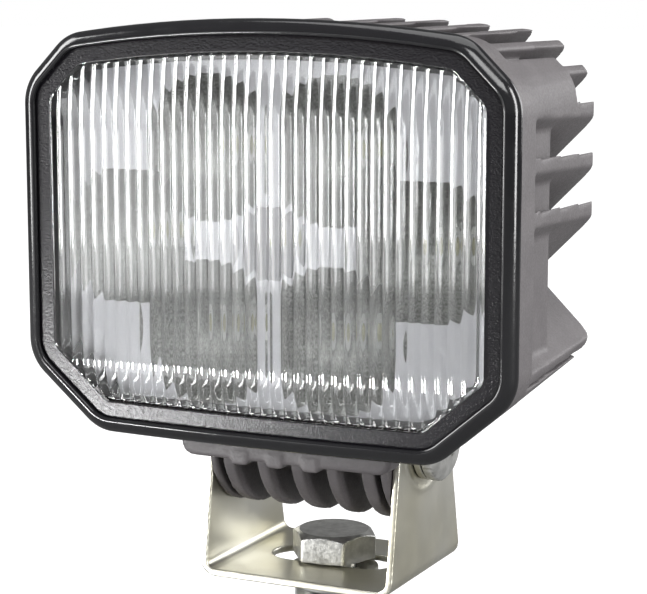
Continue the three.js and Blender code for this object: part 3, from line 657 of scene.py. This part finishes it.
# ---- reflector and LEDs ----
def cup_cutter(place, radius, flats, slot="reflector_cup"):
    """The space of one bowl, ended by flat cuts. A flat has a point and an outward normal, both (x, z)."""
    profile = [(AXIS, REFLECTOR_BACK + 1), (CUP_THROAT, REFLECTOR_BACK + 1)]
    for part in np.linspace(0, 1, 12) ** 1.5:
        bowl = CUP_THROAT + (radius - CUP_THROAT) * math.sqrt(part)
        profile.append((bowl, REFLECTOR_BACK - part * CUP_DEPTH))
    profile += [(radius + 0.25, REFLECTOR_FRONT - 0.1), (radius + 0.25, REFLECTOR_FRONT - 2)]
    profile += [(AXIS, REFLECTOR_FRONT - 2)]
    points, faces = lathe(profile, "y", (place[0], 0, place[1] + LAMP_Z), 96)
    cutter = make_piece("cutter", points, faces, slot)
    work = bmesh.new()
    work.from_mesh(cutter.data)
    for (x, z), (nx, nz) in flats:
        bmesh.ops.bisect_plane(
            work, geom=work.verts[:] + work.edges[:] + work.faces[:],
            plane_co=Vector((x, 0, z + LAMP_Z)) * MM, plane_no=(nx, 0, nz), clear_outer=True,
        )
        open_edges = [e for e in work.edges if e.is_boundary]
        bmesh.ops.holes_fill(work, edges=open_edges)
    bmesh.ops.recalc_face_normals(work, faces=work.faces)
    work.to_mesh(cutter.data)
    work.free()
    return cutter


def cup_flats(x, z):
    if x == 0:
        return []
    if abs(x) > 20:
        return [((x, z + SIDE_FLAT - 1), (0, 1)), ((x, z - SIDE_FLAT + 1), (0, -1))]
    flats = [((math.copysign(MIDDLE_FLAT_X, x), z), (-math.copysign(1, x), 0))]
    if z > 0:
        return flats + [((x, UPPER_FLAT_Z), (0, -1))]
    return flats + [((x, LOWER_FLAT_Z), (0, 1))]


def screw_recess(x, z):
    """The hole behind the reflector that a board screw's head stands in."""
    radius, depth = SCREW_RECESS
    floor, end = REFLECTOR_BACK - depth, REFLECTOR_BACK + 1
    profile = [(AXIS, floor), (radius, floor), (radius, end), (AXIS, end)]
    points, faces = lathe(profile, "y", (x, 0, z + LAMP_Z), 32)
    return tidy_normals(make_piece("cutter", points, faces, "reflector_cup"))


def reflector():
    outline = lamp_outline(REFLECTOR_INSET)
    count = len(outline)
    points = [(x, y, z + LAMP_Z) for y in (REFLECTOR_FRONT, REFLECTOR_BACK) for x, z in outline]
    faces = rings_to_faces(count, 2, False) + [tuple(range(count)), tuple(range(count, 2 * count))]
    plate = tidy_normals(make_piece("reflector_bowls", points, faces, "reflector_metal", "reflector_cup"))
    # The six side bowls take the darker cup material, which is painted shade; the centre bowl keeps the
    # plate's lighter metal.
    cutters = [cup_cutter(place, CUP_RADIUS, cup_flats(*place)) for place in CUPS]
    cutters.append(cup_cutter(CENTRE_CUP, CENTRE_CUP_RADIUS, [], "reflector_metal"))
    cutters += [screw_recess(x, z) for x, z in BOARD_SCREWS]
    cut_with(plate, cutters)
    return stands_for(tidy_normals(plate, 28), "reflector")


def led(index):
    """A ceramic carrier with a yellow phosphor tile under a clear-coated dome."""
    node = f"led_{index + 1}"
    low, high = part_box(node)
    centre = (low + high) / 2 / MM
    back, half, thickness = high.y / MM, 2.4, 0.8
    dome_radius, dome_rise = 2.0, 1.7

    def square(angle, radius, _along):
        return min(radius / max(abs(math.cos(angle)), abs(math.sin(angle))), radius * 1.3)

    corners = [(AXIS, back), (half, back), (half, back - thickness), (AXIS, back - thickness)]
    carrier = rounded_profile(corners, 0.15, 2)
    points, faces = lathe(carrier[3:-3], "y", (centre.x, 0, centre.z), 64, square)
    dome = [
        (dome_radius * math.cos(t), back - 0.75 - dome_rise * math.sin(t))
        for t in np.linspace(0, math.pi / 2 * 0.98, 9)
    ]
    dome = [(dome_radius, back - 0.6), *dome]
    dome_points, dome_faces = lathe(dome, "y", (centre.x, 0, centre.z), 48)
    offset = len(points)
    faces = faces + [tuple(offset + k for k in face) for face in dome_faces]
    points = np.vstack([points, dome_points])
    piece = make_piece(f"{node}_chip", points, faces, "white_board", "led_phosphor")
    split = len(faces) - len(dome_faces)
    piece.data.polygons.foreach_set("material_index", [0 if k < split else 1 for k in range(len(faces))])
    return stands_for(tidy_normals(piece, 40), node)


# ---- fasteners ----
def thread_radius(pitch, depth, low, high):
    """A helical thread that fades out at both ends."""
    def shape(angle, radius, along):
        if radius < 3:
            return radius
        turn = (along / pitch - angle / (2 * math.pi)) % 1
        tooth = abs(2 * turn - 1)
        fade = min(max((along - low) / pitch, 0), max((high - along) / pitch, 0), 1)
        return radius - depth * tooth * fade
    return shape


def hex_head(across, bottom, top, turn, name, slot, chamfer_bottom=False):
    """A hexagonal prism whose corners are turned off by a cone."""
    def shape(angle, radius, _along):
        sector = (angle - turn + math.pi / 6) % (math.pi / 3) - math.pi / 6
        flat = across / 2 / math.cos(sector)
        return min(radius, flat)
    reach = across / math.sqrt(3) + 0.02
    face = across / 2 - 0.7
    rise = (reach - face) * math.tan(math.radians(30))
    inner, edge = (face, rise) if chamfer_bottom else (reach - 0.2, 0.2)
    profile = [(AXIS, bottom), (inner, bottom), (reach, bottom + edge)]
    steps = 6
    profile += [(reach - (reach - face) * k / steps, top - rise + rise * k / steps) for k in range(steps + 1)]
    profile += [(face - 0.25, top - 0.02), (face - 0.7, top), (AXIS, top)]
    points, faces = lathe(profile, "z", (0, 0, 0), 180, shape)
    return tidy_normals(make_piece(name, points, faces, slot), 25)


def mounting_bolt():
    low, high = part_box("mounting_bolt")
    bottom, top = low.z / MM, high.z / MM
    seat = top - HEAD_HEIGHT
    turn = math.radians(HEAD_TURN + 30)
    head = hex_head(HEX_ACROSS, seat + 0.35, top, turn, "mounting_hex_bolt", "steel")
    face_profile = [(AXIS, seat), (8, seat), (8.1, seat + 0.1), (8.1, seat + 0.6), (AXIS, seat + 0.6)]
    points, faces = lathe(face_profile, "z", (0, 0, 0), 96)
    bearing = tidy_normals(make_piece("cutter", points, faces, "steel"))
    rows = np.linspace(bottom + 0.9, seat + 0.4, 190)
    profile = [(AXIS, bottom), (4.0, bottom), *[(4.97, z) for z in rows], (AXIS, seat + 0.4)]
    thread = thread_radius(THREAD_PITCH, 0.85, bottom, seat - 3)
    points, faces = lathe(profile, "z", (0, 0, 0), 40, thread)
    shank = tidy_normals(make_piece("cutter", points, faces, "steel"))
    cut_with(head, [bearing, shank], "UNION")
    return stands_for(tidy_normals(head, 30), "mounting_bolt")


def hex_nut():
    low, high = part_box("hex_nut")
    bottom, top = low.z / MM, high.z / MM
    nut = hex_head(HEX_ACROSS, bottom, top, math.radians(30), "mounting_hex_nut", "steel", True)
    mouth, bore = 6.3, 5.3
    profile = [(AXIS, bottom - 1), (mouth, bottom - 1), (bore, bottom + 0.6)]
    profile += [(bore, top - 0.6), (mouth, top + 1), (AXIS, top + 1)]
    points, faces = lathe(profile, "z", (0, 0, 0), 64)
    cut_with(nut, [tidy_normals(make_piece("cutter", points, faces, "steel"))])
    return stands_for(tidy_normals(nut, 30), "hex_nut")


def flat_ring(node, name, axis, inner, outer, slot):
    """A washer with slightly rounded edges, in the place of a CAD node."""
    low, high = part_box(node)
    index = "xyz".index(axis)
    start, end = low[index] / MM, high[index] / MM
    at = [0 if k == index else (low[k] + high[k]) / 2 / MM for k in range(3)]
    profile = rounded_profile([(inner, start), (outer, start), (outer, end), (inner, end)], 0.3)
    points, faces = lathe_ring(profile, axis, at, 96)
    return stands_for(tidy_normals(make_piece(name, points, faces, slot), 40), node)


def spring_washer():
    """One turn of square wire, split, with its ends sprung slightly apart."""
    low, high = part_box("spring_washer")
    bottom, top = low.z / MM, high.z / MM
    inner, outer, spring, gap = 5.45, 8.55, 0.25, 0.09
    corners = [(inner, bottom), (outer, bottom), (outer, top - spring), (inner, top - spring)]
    section = rounded_profile(corners, 0.2, 2)
    turns = np.linspace(gap, 2 * math.pi - gap, 72)
    points = []
    for turn in turns:
        lift = spring * (turn - gap) / (2 * math.pi - 2 * gap)
        points += [(r * math.cos(turn), r * math.sin(turn), z + lift) for r, z in section]
    count = len(section)
    faces = rings_to_faces(count, len(turns), False)
    faces += [tuple(range(count)), tuple((len(turns) - 1) * count + k for k in range(count))]
    piece = tidy_normals(make_piece("sprung_split_washer", points, faces, "steel"), 40)
    return stands_for(piece, "spring_washer")


def pivot_bolt(side, name):
    """A domed bolt head with a knurled flank and a hexagon socket."""
    node = f"pivot_bolt_{name}"
    low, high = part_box(node)
    y, z = (low.y + high.y) / 2 / MM, (low.z + high.z) / 2 / MM
    tip, shank_end = (high.x, low.x) if side > 0 else (low.x, high.x)
    tip, shank_end = tip / MM, shank_end / MM
    seat = tip - side * PIVOT_HEAD

    def knurl(angle, radius, along):
        depth = side * (along - seat)
        if radius > 8 and 0.2 < depth < 2.2:
            return radius - 0.35 * abs(((angle * 40 / (2 * math.pi)) % 1) * 2 - 1)
        return radius

    def at(depth):
        return seat + side * depth

    profile = [(AXIS, shank_end), (3.2, shank_end), (4, shank_end + side * 0.8), (4, seat), (8.5, seat)]
    profile += [(8.8, at(0.25)), (8.8, at(1.2)), (8.8, at(2.0)), (8.4, at(2.35))]
    profile += [(8.2 * math.cos(t), at(2.4 + 1.6 * math.sin(t))) for t in np.linspace(0.1, 1.1, 8)]
    profile += [(3.3, at(4.05)), (3.0, at(4.05)), (2.7, at(1.5)), (AXIS, at(1.3))]

    def shape(angle, radius, along):
        if radius in (3.0, 2.7):
            return 2.9 / math.cos((angle + math.pi / 6) % (math.pi / 3) - math.pi / 6) * (radius / 3.0)
        return knurl(angle, radius, along)

    points, faces = lathe(profile, "x", (0, y, z), 240, shape)
    piece = tidy_normals(make_piece(f"pivot_head_{name}", points, faces, "steel"), 35)
    return stands_for(piece, node)


def board_screw(index):
    node = f"board_screw_{index + 1}"
    low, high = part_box(node)
    at = ((low.x + high.x) / 2 / MM, 0, (low.z + high.z) / 2 / MM)
    front, back = low.y / MM, high.y / MM
    profile = [(AXIS, front + 0.7), (0.9, front + 0.7), (1.0, front), (1.5, front + 0.1), (2.3, front + 0.7)]
    profile += [(2.6, front + 1.4), (2.6, front + 2), (1.4, front + 2)]
    profile += [(1.4, back - 0.6), (0.9, back), (AXIS, back)]
    points, faces = lathe(profile, "y", at, 32)
    return stands_for(tidy_normals(make_piece(f"{node}_head", points, faces, "steel")), node)


# ---- bracket and castings ----
def bracket():
    """The pressed bracket, with a raised bead around the lower half of each pivot."""
    piece = softened("bracket", "bracket_pressing", 0.28, 3, 0.35, "zinc_plate")
    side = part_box("bracket")[1].x - 0.004
    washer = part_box("pivot_washer_right")[0]
    centre = np.array([washer.y, washer.z]) + PIVOT_WASHER_RADII[1] * MM
    count = len(piece.data.vertices)
    co = np.zeros(count * 3)
    piece.data.vertices.foreach_get("co", co)
    co = co.reshape(-1, 3)
    away = np.hypot(co[:, 1] - centre[0], co[:, 2] - centre[1]) / MM
    lower = co[:, 2] < centre[1]
    bead_height, bead_radius, bead_width = 0.3, 11.0, 0.55
    bead = bead_height * np.exp(-((away - bead_radius) / bead_width) ** 2) * lower
    outwards = np.sign(co[:, 0]) * (np.abs(co[:, 0]) > side)
    co[:, 0] += outwards * bead * MM
    piece.data.vertices.foreach_set("co", co.ravel())
    return piece


def finish_cad_nodes():
    """Materials for the CAD nodes that stay as they are."""
    for name, node in frame["nodes"].items():
        if node.hide_render:
            continue
        slot = SLOTS.get(name, "satin_black")
        node.data.materials.clear()
        node.data.materials.append(MATERIALS[slot])


# ---- studio ----
FLOOR_GLOW = 1.0  # lifts the floor to paper white where the camera sees it
WORLD_LIGHT = 0.25
WORLD_SEEN = 1.0


def area_light(name, place, target, size, power):
    data = bpy.data.lights.new(name, "AREA")
    data.shape = "RECTANGLE"
    data.size, data.size_y = size
    data.energy = power
    light = bpy.data.objects.new(name, data)
    light.location = place
    light.rotation_euler = (Vector(target) - Vector(place)).to_track_quat("-Z", "Y").to_euler()
    bpy.context.scene.collection.objects.link(light)
    return light


def studio_floor():
    floor_z = CAD_BOX[0].z - 0.0004
    half = 14.0
    corners = [(x, y, floor_z) for x, y in ((-half, -half), (half, -half), (half, half), (-half, half))]
    mesh = bpy.data.meshes.new("studio_floor")
    mesh.from_pydata(corners, [], [(0, 1, 2, 3)])
    floor = bpy.data.objects.new("studio_floor", mesh)
    bpy.context.scene.collection.objects.link(floor)
    made = Finish("studio_floor_paint", (0.2, 0.2, 0.2), 0.9)
    made.drive("Roughness", made.ramp(made.noise(40), 0.85, 0.95))
    seen = made.tree.nodes.new("ShaderNodeLightPath").outputs["Is Camera Ray"]
    glow = made.tree.nodes.new("ShaderNodeMapRange")
    glow.inputs["To Max"].default_value = FLOOR_GLOW
    made.tree.links.new(seen, glow.inputs["Value"])
    made.shader.inputs["Emission Color"].default_value = (1, 1, 1, 1)
    made.drive("Emission Strength", glow.outputs["Result"])
    mesh.materials.append(made.material)


def studio_world():
    """White where the camera sees it, and dimmer as a light."""
    world = bpy.data.worlds.new("studio")
    world.use_nodes = True
    tree = world.node_tree
    background = tree.nodes["Background"]
    seen = tree.nodes.new("ShaderNodeLightPath").outputs["Is Camera Ray"]
    level = tree.nodes.new("ShaderNodeMapRange")
    level.inputs["To Min"].default_value = WORLD_LIGHT
    level.inputs["To Max"].default_value = WORLD_SEEN
    tree.links.new(seen, level.inputs["Value"])
    tree.links.new(level.outputs["Result"], background.inputs["Strength"])
    background.inputs["Color"].default_value = (1, 1, 1, 1)
    bpy.context.scene.world = world


def studio_lights():
    middle = (0, 0, 0.07)
    area_light("overhead", (0.1, -0.15, 0.9), middle, (0.9, 0.7), 6)
    area_light("left_strip", (-0.72, -0.42, 0.2), middle, (0.24, 1.0), 12)
    area_light("right_panel", (0.78, -0.4, 0.25), middle, (0.2, 0.9), 11)
    area_light("right_fill", (0.6, 0.7, 0.35), middle, (0.5, 0.6), 5)
    area_light("middle_card", (-0.32, -0.46, 0.03), (0, -0.04, 0.04), (0.3, 0.08), 0.16)
    area_light("low_card", (-0.15, -0.2, -0.012), (-0.03, -0.037, 0.035), (0.07, 0.022), 0.3)
    area_light("front_high", (0.35, -1.0, 0.75), middle, (0.5, 0.35), 5)
    bpy.context.scene.view_settings.view_transform = "Standard"


CAMERA_PLACE = (0.1815, -0.3797, 0.1229)
CAMERA_TURN = 25.87  # degrees to the left
CAMERA_TILT = 8.43  # degrees down
CAMERA_LENS = 107.4


def camera():
    data = bpy.data.cameras.new("camera")
    data.sensor_width = 36
    data.lens = CAMERA_LENS
    data.clip_start, data.clip_end = 0.01, 20
    view = bpy.data.objects.new("camera", data)
    turn, tilt = math.radians(CAMERA_TURN), math.radians(CAMERA_TILT)
    view.location = CAMERA_PLACE
    ahead = Vector((-math.sin(turn) * math.cos(tilt), math.cos(turn) * math.cos(tilt), -math.sin(tilt)))
    view.rotation_euler = ahead.to_track_quat("-Z", "Y").to_euler()
    bpy.context.scene.collection.objects.link(view)
    bpy.context.scene.camera = view


# ---- assembly ----
camera()
studio_floor()
studio_world()
studio_lights()
bezel()
lens_gasket()
window_frame()
lens()
reflector()
for number in range(len(CUPS) + 1):
    led(number)
for number in range(len(BOARD_SCREWS)):
    board_screw(number)
mounting_bolt()
hex_nut()
spring_washer()
flat_ring("flat_washer", "mounting_flat_washer", "z", *WASHER_RADII, "zinc_plate")
for side, name in ((-1, "left"), (1, "right")):
    pivot_bolt(side, name)
    flat_ring(f"pivot_washer_{name}", f"pivot_ring_{name}", "x", *PIVOT_WASHER_RADII, "zinc_plate")
bracket()
softened("housing", "housing_casting", 0.45, 4, 0.3, "cast_housing")
softened("connector_shell", "connector_moulding", 0.2, 3, 0.4, "satin_black")
finish_cad_nodes()
